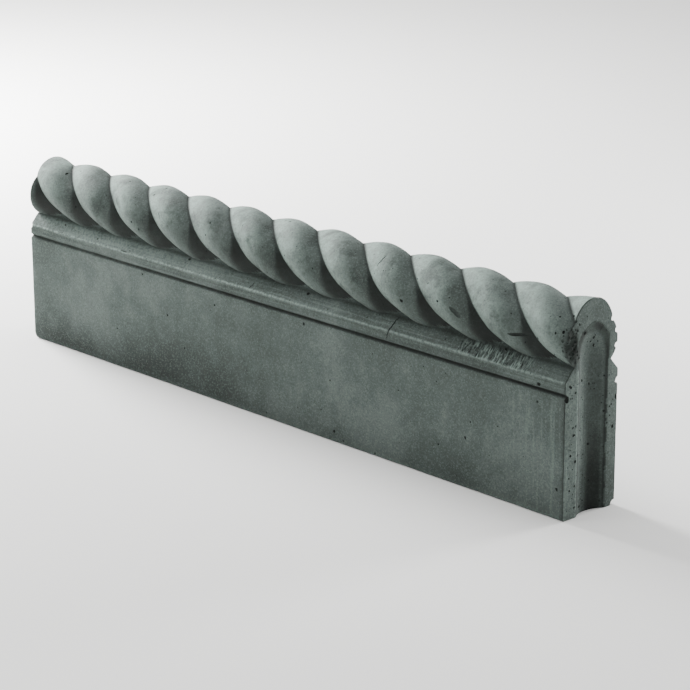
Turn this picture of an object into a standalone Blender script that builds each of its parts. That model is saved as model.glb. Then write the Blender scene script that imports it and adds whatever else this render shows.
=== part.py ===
"""Rope-top garden edging block, cast in concrete round a strip of welded reinforcing wire.

Metres, +Z up. The origin is at the middle of the underside. +X is the end with the joint
groove, -X the end with the joint tongue, and -Y the front face.
"""

import math

import bmesh
import bpy
from mathutils import Matrix, Vector

# The block between its two end faces
body_length = 0.610
block_thickness = 0.052
block_height = 0.1525

# Rope moulding along the top: three round strands laid up left-handed
rope_radius = 0.026
strand_offset = 0.0074
strand_count = 3
lay_length = 0.1524
first_valley_angle = 24.5
points_per_strand = 10
steps_per_turn = 24

# Slab under the rope: fascia, sloping ledge and the fine groove below the fascia
arris_height = 0.0985
ledge_run = 0.016
ledge_slope = 48.7
line_groove_height = 0.0895
line_groove_width = 0.0032
line_groove_depth = 0.0018

# End joint: a shallow round-topped groove, and the tongue that fits one
joint_offset = 0.0012
groove_width = 0.029
groove_depth = 0.005
groove_spring_height = 0.117
joint_clearance = 0.0011
joint_sides = 48

# Welded wire strip inside, and the room that each wire keeps in the concrete
line_wire_diameter = 0.004
cross_wire_diameter = 0.003
line_wire_heights = {"lower": 0.026, "upper": 0.076}
end_cover = 0.015
cross_wire_count = 4
cross_wire_spacing = 0.150
cross_wire_overhang = 0.006
gap = 0.0003

tongue_reach = groove_depth - joint_clearance
overall_length = body_length + tongue_reach
body_start = tongue_reach - overall_length / 2
body_end = overall_length / 2
rope_centre_height = block_height - rope_radius
strand_radius = rope_radius - strand_offset


def clear_scene():
    for old in list(bpy.data.objects):
        bpy.data.objects.remove(old, do_unlink=True)


def make_collection(name):
    collection = bpy.data.collections.new(name)
    bpy.context.scene.collection.children.link(collection)
    return collection


def make_material(name, colour, roughness, metallic):
    material = bpy.data.materials.new(name)
    material.use_nodes = True
    shader = material.node_tree.nodes["Principled BSDF"]
    shader.inputs["Base Color"].default_value = (*colour, 1.0)
    shader.inputs["Roughness"].default_value = roughness
    shader.inputs["Metallic"].default_value = metallic
    return material


def object_from_bmesh(name, bm, collection):
    mesh = bpy.data.meshes.new(name)
    bm.to_mesh(mesh)
    bm.free()
    made = bpy.data.objects.new(name, mesh)
    collection.objects.link(made)
    return made


def object_from_curve(name, curve_object, collection):
    """Turn a curve into a welded, closed mesh and remove the curve."""
    bpy.context.view_layer.update()
    graph = bpy.context.evaluated_depsgraph_get()
    mesh = bpy.data.meshes.new_from_object(curve_object.evaluated_get(graph))
    bm = bmesh.new()
    bm.from_mesh(mesh)
    bmesh.ops.remove_doubles(bm, verts=bm.verts, dist=0.00001)
    bmesh.ops.recalc_face_normals(bm, faces=bm.faces)
    bm.to_mesh(mesh)
    bm.free()
    made = bpy.data.objects.new(name, mesh)
    made.matrix_world = curve_object.matrix_world.copy()
    collection.objects.link(made)
    bpy.data.objects.remove(curve_object, do_unlink=True)
    return made


def poly_curve(name, points, closed):
    curve = bpy.data.curves.new(name, "CURVE")
    spline = curve.splines.new("POLY")
    spline.points.add(len(points) - 1)
    for spot, point in zip(spline.points, points):
        spot.co = (*point, 1.0)
    spline.use_cyclic_u = closed
    made = bpy.data.objects.new(name, curve)
    bpy.context.scene.collection.objects.link(made)
    return made


def hide_cutter(cutter):
    cutter.hide_render = True
    cutter.display_type = "WIRE"


def add_boolean(target, cutter, operation):
    modifier = target.modifiers.new(operation.lower() + "_" + cutter.name, "BOOLEAN")
    modifier.operation = operation
    modifier.solver = "EXACT"
    modifier.object = cutter
    hide_cutter(cutter)


def make_slab(name, collection):
    """The straight slab: one half of its end outline, mirrored and drawn out along X."""
    half = block_thickness / 2
    groove_half = line_groove_width / 2
    ledge_rise = ledge_run * math.tan(math.radians(ledge_slope))
    side = [
        (half, 0.0),
        (half, line_groove_height - groove_half),
        (half - line_groove_depth, line_groove_height),
        (half, line_groove_height + groove_half),
        (half, arris_height),
        (half - ledge_run, arris_height + ledge_rise),
    ]
    outline = side + [(-y, z) for y, z in reversed(side)]
    flat = poly_curve(name + "_outline", [(y, z, 0.0) for y, z in outline], closed=True)
    flat.data.dimensions = "2D"
    flat.data.fill_mode = "BOTH"
    flat.data.extrude = body_length / 2
    middle = Vector(((body_start + body_end) / 2, 0.0, 0.0))
    # Outline X and Y become world Y and Z, and the draw direction becomes world X
    turn = Matrix(((0, 0, 1), (1, 0, 0), (0, 1, 0))).to_4x4()
    flat.matrix_world = Matrix.Translation(middle) @ turn
    return object_from_curve(name, flat, collection)


def rope_outline():
    """Three equal arcs that meet in valleys, as angles and radii round the rope's axis."""
    half_pitch = math.pi / strand_count
    valley_radius = strand_offset * math.cos(half_pitch) + math.sqrt(
        strand_radius**2 - (strand_offset * math.sin(half_pitch)) ** 2
    )
    reach = math.atan2(
        valley_radius * math.sin(half_pitch),
        valley_radius * math.cos(half_pitch) - strand_offset,
    )
    outline = []
    for strand in range(strand_count):
        crest = math.radians(first_valley_angle) + half_pitch * (2 * strand + 1)
        for step in range(points_per_strand):
            turn = reach * (2 * step / points_per_strand - 1)
            y = strand_offset + strand_radius * math.cos(turn)
            z = strand_radius * math.sin(turn)
            outline.append((crest + math.atan2(z, y), math.hypot(y, z)))
    return outline


def make_rope(name, collection):
    """The rope moulding: its outline swept along X while it turns."""
    bm = bmesh.new()
    ring = []
    for angle, radius in rope_outline():
        y = radius * math.cos(angle)
        z = rope_centre_height + radius * math.sin(angle)
        ring.append(bm.verts.new((body_start, y, z)))
    bm.faces.new(ring)
    turns = body_length / lay_length
    steps = round(steps_per_turn * turns)
    bmesh.ops.spin(
        bm,
        geom=bm.verts[:] + bm.edges[:] + bm.faces[:],
        cent=(0.0, 0.0, rope_centre_height),
        axis=(1.0, 0.0, 0.0),
        dvec=(body_length / steps, 0.0, 0.0),
        angle=2 * math.pi * turns,
        steps=steps,
        use_duplicate=False,
    )
    bmesh.ops.recalc_face_normals(bm, faces=bm.faces)
    return object_from_bmesh(name, bm, collection)


def make_capsule(name, radius, centre_x, top_height, collection):
    """An upright round bar with a ball top, turned from its half outline."""
    below = 0.010
    quarter = joint_sides // 4
    profile = []
    for step in range(quarter + 1):
        turn = 0.5 * math.pi * (1 - step / quarter)
        profile.append((radius * math.cos(turn), top_height + radius * math.sin(turn)))
    profile.append((radius, -below))
    profile.append((0.0, -below))
    bm = bmesh.new()
    chain = [bm.verts.new((x, 0.0, z)) for x, z in profile]
    for first, second in zip(chain, chain[1:]):
        bm.edges.new((first, second))
    bar = object_from_bmesh(name, bm, collection)
    bar.location = (centre_x, joint_offset, 0.0)
    screw = bar.modifiers.new("turn", "SCREW")
    screw.steps = joint_sides
    screw.render_steps = joint_sides
    screw.use_merge_vertices = True
    screw.merge_threshold = 0.00001
    hide_cutter(bar)
    return bar


def make_box(name, low, high, collection):
    bm = bmesh.new()
    size = Vector(high) - Vector(low)
    middle = (Vector(high) + Vector(low)) / 2
    place = Matrix.Translation(middle) @ Matrix.Diagonal((*size, 1.0))
    bmesh.ops.create_cube(bm, size=1.0, matrix=place)
    return object_from_bmesh(name, bm, collection)


def segment_radius(width, depth):
    """Radius of the arc with this chord and this depth."""
    return ((width / 2) ** 2 + depth**2) / (2 * depth)


def make_groove_cutter(collection):
    radius = segment_radius(groove_width, groove_depth)
    centre_x = body_end - groove_depth + radius
    return make_capsule("groove_cutter", radius, centre_x, groove_spring_height, collection)


def make_tongue(collection):
    """The part of a slightly smaller bar that stands out of the tongue end."""
    rooted = 0.003
    radius = segment_radius(groove_width, groove_depth) - joint_clearance
    centre_x = body_start - tongue_reach + radius
    tongue = make_capsule("tongue", radius, centre_x, groove_spring_height, collection)
    low = (body_start - 2 * tongue_reach, -block_thickness, 0.0)
    high = (body_start + rooted, block_thickness, block_height)
    keep = make_box("tongue_limit", low, high, collection)
    add_boolean(tongue, keep, "INTERSECT")
    return tongue


def make_wire(name, start, end, diameter, collection):
    line = poly_curve(name + "_line", [start, end], closed=False)
    line.data.dimensions = "3D"
    line.data.bevel_depth = diameter / 2
    line.data.bevel_resolution = 2
    line.data.use_fill_caps = True
    return object_from_curve(name, line, collection)


def wire_runs():
    """Each wire's name, two ends and diameter. Line wires lie in front of the cross wires."""
    stand_off = (line_wire_diameter + cross_wire_diameter) / 4 + gap / 2
    runs = []
    for place, height in line_wire_heights.items():
        start = (body_start + end_cover, -stand_off, height)
        end = (body_end - end_cover, -stand_off, height)
        runs.append(("line_wire_" + place, start, end, line_wire_diameter))
    top = max(line_wire_heights.values()) + cross_wire_overhang
    middle = (body_start + body_end) / 2
    for index in range(cross_wire_count):
        x = middle + (index - (cross_wire_count - 1) / 2) * cross_wire_spacing
        foot = (x, stand_off, gap)
        runs.append((f"cross_wire_{index + 1}", foot, (x, stand_off, top), cross_wire_diameter))
    return runs


def grow_run(start, end, extra):
    """Lengthen a run past both of its ends."""
    along = (Vector(end) - Vector(start)).normalized() * extra
    return Vector(start) - along, Vector(end) + along


def make_casting(parts, cutters):
    """One pour of concrete: slab, rope and tongue, less the joint groove and the wires' room."""
    casting = make_slab("concrete_casting", parts)
    add_boolean(casting, make_rope("rope", cutters), "UNION")
    add_boolean(casting, make_tongue(cutters), "UNION")
    add_boolean(casting, make_groove_cutter(cutters), "DIFFERENCE")
    for name, start, end, diameter in wire_runs():
        # A foot that shows on the underside has its channel open there
        low, high = grow_run(start, end, gap)
        if name.startswith("cross"):
            low.z -= 0.002
        cutter = make_wire(name + "_room", low, high, diameter + 2 * gap, cutters)
        add_boolean(casting, cutter, "DIFFERENCE")
    return casting


def main():
    clear_scene()
    parts = make_collection("rope_top_edger")
    cutters = make_collection("cutters")
    concrete = make_material("cast_concrete", (0.105, 0.125, 0.118), 0.88, 0.0)
    steel = make_material("drawn_steel_wire", (0.23, 0.20, 0.18), 0.45, 1.0)

    casting = make_casting(parts, cutters)
    casting.data.materials.append(concrete)
    for name, start, end, diameter in wire_runs():
        wire = make_wire(name, start, end, diameter, parts)
        wire.data.materials.append(steel)
        wire.data.shade_smooth()
        wire.data.set_sharp_from_angle(angle=math.radians(40))


main()
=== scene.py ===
import itertools
import math

import bmesh
import bpy
import numpy as np
from mathutils import Matrix, Vector
from mathutils.bvhtree import BVHTree


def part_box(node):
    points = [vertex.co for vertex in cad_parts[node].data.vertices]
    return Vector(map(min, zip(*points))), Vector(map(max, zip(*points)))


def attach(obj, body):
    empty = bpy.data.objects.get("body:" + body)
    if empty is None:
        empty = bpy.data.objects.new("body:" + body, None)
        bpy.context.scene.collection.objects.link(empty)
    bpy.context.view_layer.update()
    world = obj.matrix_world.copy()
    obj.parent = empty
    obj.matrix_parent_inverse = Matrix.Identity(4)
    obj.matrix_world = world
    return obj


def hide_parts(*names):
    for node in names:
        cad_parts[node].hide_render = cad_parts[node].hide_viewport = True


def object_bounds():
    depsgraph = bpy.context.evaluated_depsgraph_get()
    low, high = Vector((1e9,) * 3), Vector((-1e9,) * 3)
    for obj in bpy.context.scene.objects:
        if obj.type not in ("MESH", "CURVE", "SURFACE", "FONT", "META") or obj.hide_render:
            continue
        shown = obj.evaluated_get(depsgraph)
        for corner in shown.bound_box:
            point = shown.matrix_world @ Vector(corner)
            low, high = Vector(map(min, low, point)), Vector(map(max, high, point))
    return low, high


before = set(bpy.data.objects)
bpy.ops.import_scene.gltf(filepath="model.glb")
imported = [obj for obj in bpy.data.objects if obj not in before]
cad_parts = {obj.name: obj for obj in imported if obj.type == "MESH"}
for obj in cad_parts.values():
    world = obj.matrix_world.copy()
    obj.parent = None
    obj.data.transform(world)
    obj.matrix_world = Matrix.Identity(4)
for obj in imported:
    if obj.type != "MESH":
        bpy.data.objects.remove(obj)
cadLow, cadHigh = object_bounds()
print("frame loaded: CAD box", [round(v, 4) for v in (*cadLow, *cadHigh)])

millimetre = 0.001
weldDistance = 1e-7


def inMetres(**lengths):
    # lengths in metres from the same ones in millimetres
    return {name: length * millimetre for name, length in lengths.items()}


# The camera stands in front of the groove end and a little above the block
cameraPlan = dict(
    place=(1.3897, -1.2211, 0.6091),
    lookTowards=(-0.70557, 0.64759, -0.28775),
    roll=-0.2,
    lens=131.07,
    sensor=36.0,
    clip=(0.01, 50.0),
)

# The whole block, in metres; +X is the groove end, -Y the front
blockPlan = dict(
    thickness=cadHigh.y - cadLow.y,
    height=0.1525,
    tongueReach=0.0039,
    arrisHeight=0.0985,
    ledgeSlope=48.7,
    ledgeRun=0.016,
    sharpAngle=38.0,
)
blockPlan["start"] = cadLow.x + blockPlan["tongueReach"]
blockPlan["end"] = cadHigh.x
blockPlan["half"] = blockPlan["thickness"] / 2
blockPlan["slope"] = math.tan(math.radians(blockPlan["ledgeSlope"]))


# Large primes and shifts that turn a lattice corner into an even random value
noisePlan = dict(
    offset=1000.0,
    primes=(73856093, 19349663, 83492791),
    seedPrime=7919,
    stirs=((13, 1274126177), (16, 668265263)),
    keep=0xFFFFFFFF,
    steps=0xFFFF,
)


def latticeNoise(points, size, seed):
    # random values from -1 to 1 on a cubic lattice, blended by 3t^2 - 2t^3 between its corners
    cell = np.asarray(points, float) / size + noisePlan["offset"]
    base = np.floor(cell).astype(np.int64)
    part = cell - base
    part = part * part * (3.0 - 2.0 * part)
    total = np.zeros(len(cell))
    for corner in itertools.product((0, 1), repeat=3):
        key = (base + np.array(corner)) * np.array(noisePlan["primes"])
        mixed = np.bitwise_xor.reduce(key, axis=1) ^ (seed * noisePlan["seedPrime"])
        mixed = mixed & noisePlan["keep"]
        for shift, factor in noisePlan["stirs"]:
            mixed = ((mixed ^ (mixed >> shift)) * factor) & noisePlan["keep"]
        value = ((mixed >> 8) & noisePlan["steps"]) / (noisePlan["steps"] / 2) - 1.0
        weight = np.prod(np.where(np.array(corner), part, 1.0 - part), axis=1)
        total += value * weight
    return total


def gridNoise(grid, size, seed, stretch=(1.0, 1.0, 1.0)):
    # lattice noise over a grid of points, drawn out along an axis where its stretch is above one
    flat = grid.reshape(-1, 3) / np.array(stretch)
    return latticeNoise(flat, size, seed).reshape(grid.shape[:2])


def smoothStep(low, high, value):
    # 0 at low and 1 at high, by 3t^2 - 2t^3 between them; low may be the greater of the two
    part = np.clip((value - low) / (high - low), 0.0, 1.0)
    return part * part * (3.0 - 2.0 * part)


def bump(value, centre, width):
    # a bell, exp(-t^2): one at the centre, falling away over the width
    return np.exp(-((value - centre) / width) ** 2)


def gridNormals(grid):
    # unit normals of a tube grid: rows along X, columns round the section, which closes on itself
    along = np.gradient(grid, axis=0)
    around = np.roll(grid, -1, axis=1) - np.roll(grid, 1, axis=1)
    normal = np.cross(along, around)
    return normal / np.maximum(np.linalg.norm(normal, axis=2, keepdims=True), 1e-12)


def addSwell(push, grid, plan):
    # adds noises of the plan's sizes and heights to how far each point is pushed
    for seed, (size, height) in enumerate(plan["swell"]):
        noise = gridNoise(grid, size * millimetre, plan["swellSeed"] + seed)
        push += noise * height * millimetre


def tubeFaces(rows, columns):
    # quads between neighbouring rows, the columns wrapping round
    row, column = np.meshgrid(np.arange(rows - 1), np.arange(columns), indexing="ij")
    first = row * columns + column
    second = row * columns + (column + 1) % columns
    return np.stack([first, second, second + columns, first + columns], axis=2).reshape(-1, 4)


def meshFrom(name, points, faces, extraFaces=()):
    # an object from a whole array of points and lists of the points round each face
    mesh = bpy.data.meshes.new(name)
    allFaces = faces.tolist() + [list(f) for f in extraFaces]
    mesh.from_pydata(points.reshape(-1, 3).tolist(), [], allFaces)
    mesh.update()
    made = bpy.data.objects.new(name, mesh)
    bpy.context.scene.collection.objects.link(made)
    return made


def tubeFrom(name, grid):
    # a closed body: a tube grid with a flat face over each end
    rows, columns = grid.shape[:2]
    firstCap = list(range(columns))
    lastCap = [(rows - 1) * columns + i for i in range(columns)]
    return turnOutwards(meshFrom(name, grid, tubeFaces(rows, columns), [firstCap, lastCap]))


def turnOutwards(made):
    # merges doubles, turns every face outwards, and reports the volume that the faces enclose
    bm = bmesh.new()
    bm.from_mesh(made.data)
    bmesh.ops.remove_doubles(bm, verts=bm.verts, dist=weldDistance)
    bmesh.ops.recalc_face_normals(bm, faces=bm.faces)
    openEdges = sum(1 for edge in bm.edges if len(edge.link_faces) != 2)
    bm.to_mesh(made.data)
    volume = bm.calc_volume()
    bm.free()
    faceCount = len(made.data.polygons)
    print(f"  {made.name}: {faceCount} faces, {openEdges} open edges, {volume * 1e6:.1f} cm3")
    return made


def combine(target, cutter, operation):
    # the target becomes its union or difference with the cutter, and the cutter goes
    modifier = target.modifiers.new(operation, "BOOLEAN")
    modifier.operation = operation
    modifier.solver = "MANIFOLD"
    modifier.object = cutter
    graph = bpy.context.evaluated_depsgraph_get()
    mesh = bpy.data.meshes.new_from_object(target.evaluated_get(graph))
    target.modifiers.clear()
    target.data = mesh
    print(f"  {operation.lower()} with {cutter.name}: {len(mesh.polygons)} faces")
    bpy.data.objects.remove(cutter, do_unlink=True)


# The slab: its end outline carried along X, then roughened as the mould and the mix leave it
slabPlan = dict(
    lineHeight=0.0895,
    arcPoints=(5, 4, 5, 4, 6, 2),
    runSpacings=(6.5, 3.6, 0.9, 0.9, 1.2, 1.1, 7.0),  # millimetres
    swell=((60.0, 0.22), (14.0, 0.09), (5.0, 0.05)),  # size and height in millimetres
    swellSeed=11,
    rippleStretch=16.0,
    rippleSeed=17,
    wearSpread=(0.0, 0.9),
    wearSeed=19,
    **inMetres(
        spacing=2.4, overrun=8.0, bottomRound=1.6, arrisRound=1.3, lineWidth=4.0, lineDepth=2.1,
        lineRound=0.6, topRound=0.5, ledgeRipple=0.16, rippleSize=3.5, rippleRise=8.0,
        arrisWear=0.5, wearWidth=1.6, wearPatch=22.0,
    ),
)

# A fine score where the end board of the mould met its sides
scorePlan = dict(
    stations=7,
    reach=2.2,
    clear=3.0,
    patchSpread=(-0.9, 0.3),
    patchSeed=71,
    **inMetres(
        inset=0.7, width=0.30, depth=0.60, patchSize=12.0,
    ),
)


def roundedCorner(before, corner, after, radius, count):
    # a quadratic Bezier curve that cuts the corner between two straight runs
    corner, before, after = (np.array(p, float) for p in (corner, before, after))
    inward = (before - corner) / np.linalg.norm(before - corner)
    outward = (after - corner) / np.linalg.norm(after - corner)
    halfAngle = math.acos(float(inward @ outward)) / 2
    reach = radius / math.tan(halfAngle)
    share = np.linspace(0.0, 1.0, count)[:, None]
    start = corner + inward * reach
    end = corner + outward * reach
    return (1 - share) ** 2 * start + 2 * share * (1 - share) * corner + share**2 * end


def evenRun(start, end, spacing):
    # points between two places, without the places themselves
    start, end = np.array(start, float), np.array(end, float)
    count = max(int(round(np.linalg.norm(end - start) / spacing)), 1)
    share = np.arange(1, count)[:, None] / count
    return start + (end - start) * share


def slabOutline():
    # the end outline from the middle of the underside, up one side, over the top and down the other
    half = blockPlan["half"]
    lineHalf = slabPlan["lineWidth"] / 2
    top = blockPlan["arrisHeight"] + blockPlan["ledgeRun"] * blockPlan["slope"]
    corners = [
        ((half, 0.0), slabPlan["bottomRound"]),
        ((half, slabPlan["lineHeight"] - lineHalf), slabPlan["lineRound"]),
        ((half - slabPlan["lineDepth"], slabPlan["lineHeight"]), slabPlan["lineRound"]),
        ((half, slabPlan["lineHeight"] + lineHalf), slabPlan["lineRound"]),
        ((half, blockPlan["arrisHeight"]), slabPlan["arrisRound"]),
        ((half - blockPlan["ledgeRun"], top), slabPlan["topRound"]),
    ]
    spacings = slabPlan["runSpacings"]
    places = [(0.0, 0.0)] + [c[0] for c in corners] + [(0.0, top)]
    pieces = []
    last = np.array(places[0])
    for index, (corner, radius) in enumerate(corners):
        count = slabPlan["arcPoints"][index]
        arc = roundedCorner(places[index], corner, places[index + 2], radius, count)
        pieces.append(evenRun(last, arc[0], spacings[index] * millimetre))
        pieces.append(arc)
        last = arc[-1]
    pieces.append(evenRun(last, places[-1], spacings[-1] * millimetre))
    right = np.vstack(pieces)
    left = right[::-1] * np.array([-1.0, 1.0])
    return np.vstack([[places[0]], right, [places[-1]], left])


def stationsAlong(spacing, overrun):
    # even stations along X, with a few close ones at the score by the groove end
    first, last = blockPlan["start"] - overrun, blockPlan["end"] + overrun
    even = np.linspace(first, last, int((last - first) / spacing))
    score = blockPlan["end"] - scorePlan["inset"]
    spread = scorePlan["reach"] * scorePlan["width"]
    close = score + np.linspace(-1.0, 1.0, scorePlan["stations"]) * spread
    even = even[np.abs(even - score) > scorePlan["clear"] * scorePlan["width"]]
    return np.sort(np.concatenate([even, close]))


def scoreDepth(grid):
    # depth of the score at each point: a narrow bell across X that comes and goes round the end
    noise = gridNoise(grid, scorePlan["patchSize"], scorePlan["patchSeed"])
    patchy = smoothStep(*scorePlan["patchSpread"], noise)
    bell = bump(grid[:, :, 0], blockPlan["end"] - scorePlan["inset"], scorePlan["width"])
    return scorePlan["depth"] * patchy * bell


def buildSlab():
    # the end outline at every station along X, pushed along its normals by noise of several sizes
    outline = slabOutline()
    stations = stationsAlong(slabPlan["spacing"], slabPlan["overrun"])
    grid = np.zeros((len(stations), len(outline), 3))
    grid[:, :, 0] = stations[:, None]
    grid[:, :, 1] = outline[None, :, 0]
    grid[:, :, 2] = outline[None, :, 1]
    z = grid[:, :, 2]
    push = -scoreDepth(grid)
    addSwell(push, grid, slabPlan)
    # the ledge was drawn off by hand: long shallow ripples along it
    arris = blockPlan["arrisHeight"]
    onLedge = smoothStep(arris - slabPlan["rippleRise"], arris, z)
    stretch = (slabPlan["rippleStretch"], 1.0, 1.0)
    ripple = gridNoise(grid, slabPlan["rippleSize"], slabPlan["rippleSeed"], stretch)
    push += slabPlan["ledgeRipple"] * onLedge * ripple
    # the arris is worn more in some places than in others
    nearArris = bump(z, arris, slabPlan["wearWidth"])
    noise = gridNoise(grid, slabPlan["wearPatch"], slabPlan["wearSeed"])
    push -= slabPlan["arrisWear"] * nearArris * smoothStep(*slabPlan["wearSpread"], noise)
    grid = grid + gridNormals(grid) * push[:, :, None]
    # the underside stays flat where the block stands
    grid[:, :, 2] = np.maximum(grid[:, :, 2], 0.0)
    return tubeFrom("slab", grid)


# The rope: three round strands laid up left-handed, its outline turning as it goes along X
ropePlan = dict(
    strands=3,
    firstValley=24.5,
    pointsPerStrand=32,
    stationsPerTurn=72,
    swell=((55.0, 0.36), (22.0, 0.48), (9.0, 0.17), (4.0, 0.06)),  # millimetres
    swellSeed=31,
    wander=1.6,
    wanderSeed=29,
    **inMetres(
        radius=26.0, strandOffset=7.4, lay=152.4, overrun=8.0, wanderSize=45.0, shrink=0.35,
    ),
)
ropePlan["centre"] = blockPlan["height"] - ropePlan["radius"]


def strandOutline():
    # angle from the crest and radius for one strand, an arc between two valleys
    offset = ropePlan["strandOffset"]
    arcRadius = ropePlan["radius"] - offset
    halfPitch = math.pi / ropePlan["strands"]
    sideways = offset * math.sin(halfPitch)
    valley = offset * math.cos(halfPitch) + math.sqrt(arcRadius**2 - sideways**2)
    reach = math.atan2(valley * math.sin(halfPitch), valley * math.cos(halfPitch) - offset)
    # points crowd towards the valleys, where the surface turns sharply
    share = np.linspace(-1.0, 1.0, ropePlan["pointsPerStrand"], endpoint=False)
    turn = reach * np.sin(share * math.pi / 2)
    y = offset + arcRadius * np.cos(turn)
    z = arcRadius * np.sin(turn)
    return np.arctan2(z, y), np.hypot(y, z)


def layAngle(x):
    # how far the rope has turned at x, with a slight wander as a hand-made pattern has
    even = (x - blockPlan["start"]) / ropePlan["lay"] * 2 * math.pi
    line = np.stack([x, np.zeros_like(x), np.zeros_like(x)], axis=1)
    noise = latticeNoise(line, ropePlan["wanderSize"], ropePlan["wanderSeed"])
    return even + math.radians(ropePlan["wander"]) * noise


def buildRope():
    # the strand outline repeated round the axis, turned by the lay at every station along X, and
    # pushed along its normals by noise of several sizes
    angles, radii = strandOutline()
    pitch = 2 * math.pi / ropePlan["strands"]
    crests = pitch * (np.arange(ropePlan["strands"]) + 0.5)
    crests = math.radians(ropePlan["firstValley"]) + crests
    around = (crests[:, None] + angles[None, :]).ravel()
    radius = np.tile(radii, ropePlan["strands"])
    spacing = ropePlan["lay"] / ropePlan["stationsPerTurn"]
    stations = stationsAlong(spacing, ropePlan["overrun"])
    angle = around[None, :] + layAngle(stations)[:, None]
    grid = np.zeros((len(stations), len(around), 3))
    grid[:, :, 0] = stations[:, None]
    grid[:, :, 1] = radius[None, :] * np.cos(angle)
    grid[:, :, 2] = ropePlan["centre"] + radius[None, :] * np.sin(angle)
    push = -scoreDepth(grid) - ropePlan["shrink"]
    addSwell(push, grid, ropePlan)
    grid = grid + gridNormals(grid) * push[:, :, None]
    return tubeFrom("rope", grid)


# The two ends: a plate takes the overrun away and leaves the joint groove, or the tongue
endPlan = dict(
    spring=0.110,
    topStretch=0.68,
    lipChange=(0.100, 0.128),
    swell=((9.0, 0.14), (3.2, 0.10)),  # millimetres
    swellSeed=51,
    tornSide=(-0.0150, -0.0185),
    tornHeight=(0.122, 0.010),
    tornBase=0.75,
    tornSeed=57,
    **inMetres(
        centre=1.2, width=29.0, depth=5.0, clearance=1.1, lip=0.3, topLip=1.8, margin=6.0,
        plate=20.0, grooveSpacing=1.0, tongueSpacing=1.7, footRound=3.4, footRise=5.5,
        tornDepth=1.5, tornSize=2.6,
    ),
)


def fromBar(y, z):
    # distance across the end from the groove's middle line, which stops short of the top
    above = np.maximum(z - endPlan["spring"], 0.0) * endPlan["topStretch"]
    return np.hypot(y - endPlan["centre"], above)


def jointRelief(y, z, shrink):
    # depth of the joint groove at a place on the end: a round bar stood upright, with a long ball
    # top; its radius is that of the arc with the groove's width for chord and its depth for rise
    radius = ((endPlan["width"] / 2) ** 2 + endPlan["depth"] ** 2) / (2 * endPlan["depth"])
    away = fromBar(y, z)
    bar = radius - shrink
    rise = np.sqrt(np.maximum(bar**2 - away**2, 0.0)) - (radius - endPlan["depth"])
    # a soft maximum wears the edge round, and rounds it more where the groove runs out at its top
    change = smoothStep(*endPlan["lipChange"], z)
    lip = endPlan["lip"] + (endPlan["topLip"] - endPlan["lip"]) * change
    return lip * np.logaddexp(0.0, rise / lip)


def buildEndCutter(name, side, spacing):
    # a thick plate whose inner face is the finished end: the end plane less the joint's relief;
    # side 1 is the groove end, -1 the tongue end
    margin = endPlan["margin"]
    half, height = blockPlan["half"] + margin, blockPlan["height"]
    ySteps = np.linspace(-half, half, int(2 * half / spacing))
    zSteps = np.linspace(-margin, height + margin, int(height / spacing))
    y, z = np.meshgrid(ySteps, zSteps, indexing="ij")
    inner = blockPlan["end"] if side > 0 else blockPlan["start"]
    x = inner - jointRelief(y, z, 0.0 if side > 0 else endPlan["clearance"])
    place = np.stack([x, y, z], axis=2)
    if side < 0:
        # the foot of the tongue end is worn round
        near = np.clip(1.0 - z / endPlan["footRise"], 0.0, 1.0)
        x = x + endPlan["footRound"] * near**2
    else:
        # the mix tore away from the end board at the front of the rope
        torn = smoothStep(*endPlan["tornSide"], y) * bump(z, *endPlan["tornHeight"])
        rough = endPlan["tornBase"] + gridNoise(place, endPlan["tornSize"], endPlan["tornSeed"])
        x = x - endPlan["tornDepth"] * torn * rough
    for seed, (size, depth) in enumerate(endPlan["swell"]):
        # only ever inwards, so the block keeps its length
        noise = gridNoise(place, size * millimetre, endPlan["swellSeed"] + seed)
        x = x - side * depth * millimetre * (1.0 + noise) / 2
    face = np.stack([x, y, z], axis=2)
    back = face.copy()
    back[:, :, 0] = inner + side * endPlan["plate"]
    # the plate is a closed tube: inner face, far face, and walls between them
    rows, columns = y.shape
    ring = np.concatenate([face, back[:, ::-1]], axis=1)
    left = np.arange(columns - 1)
    right = 2 * columns - 1 - left
    cap = np.stack([left, left + 1, right - 1, right], axis=1)
    caps = np.concatenate([cap, cap + (rows - 1) * 2 * columns])
    faces = np.concatenate([tubeFaces(rows, 2 * columns), caps])
    return turnOutwards(meshFrom(name, ring, faces))


# Room for the cast-in wire strip; the four cross wires end at openings in the underside
wirePlan = dict(gap=0.3 * millimetre, sides=20, belowFoot=2.0 * millimetre)


def buildWireRoom(node):
    # a closed tube round the wire that the frame holds, a little larger and longer than it
    low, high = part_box(node)
    size = Vector(high) - Vector(low)
    axis = max(range(3), key=lambda i: size[i])
    middle = np.array((Vector(high) + Vector(low)) / 2)
    radius = min(size) / 2 + wirePlan["gap"]
    ends = np.array([low[axis] - wirePlan["gap"], high[axis] + wirePlan["gap"]])
    if axis == 2:
        ends[0] -= wirePlan["belowFoot"]
    turn = np.arange(wirePlan["sides"]) / wirePlan["sides"] * 2 * math.pi
    grid = np.zeros((2, wirePlan["sides"], 3)) + middle
    grid[:, :, axis] = ends[:, None]
    grid[:, :, (axis + 1) % 3] += radius * np.cos(turn)[None, :]
    grid[:, :, (axis + 2) % 3] += radius * np.sin(turn)[None, :]
    return tubeFrom(node + "_room", grid)


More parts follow.
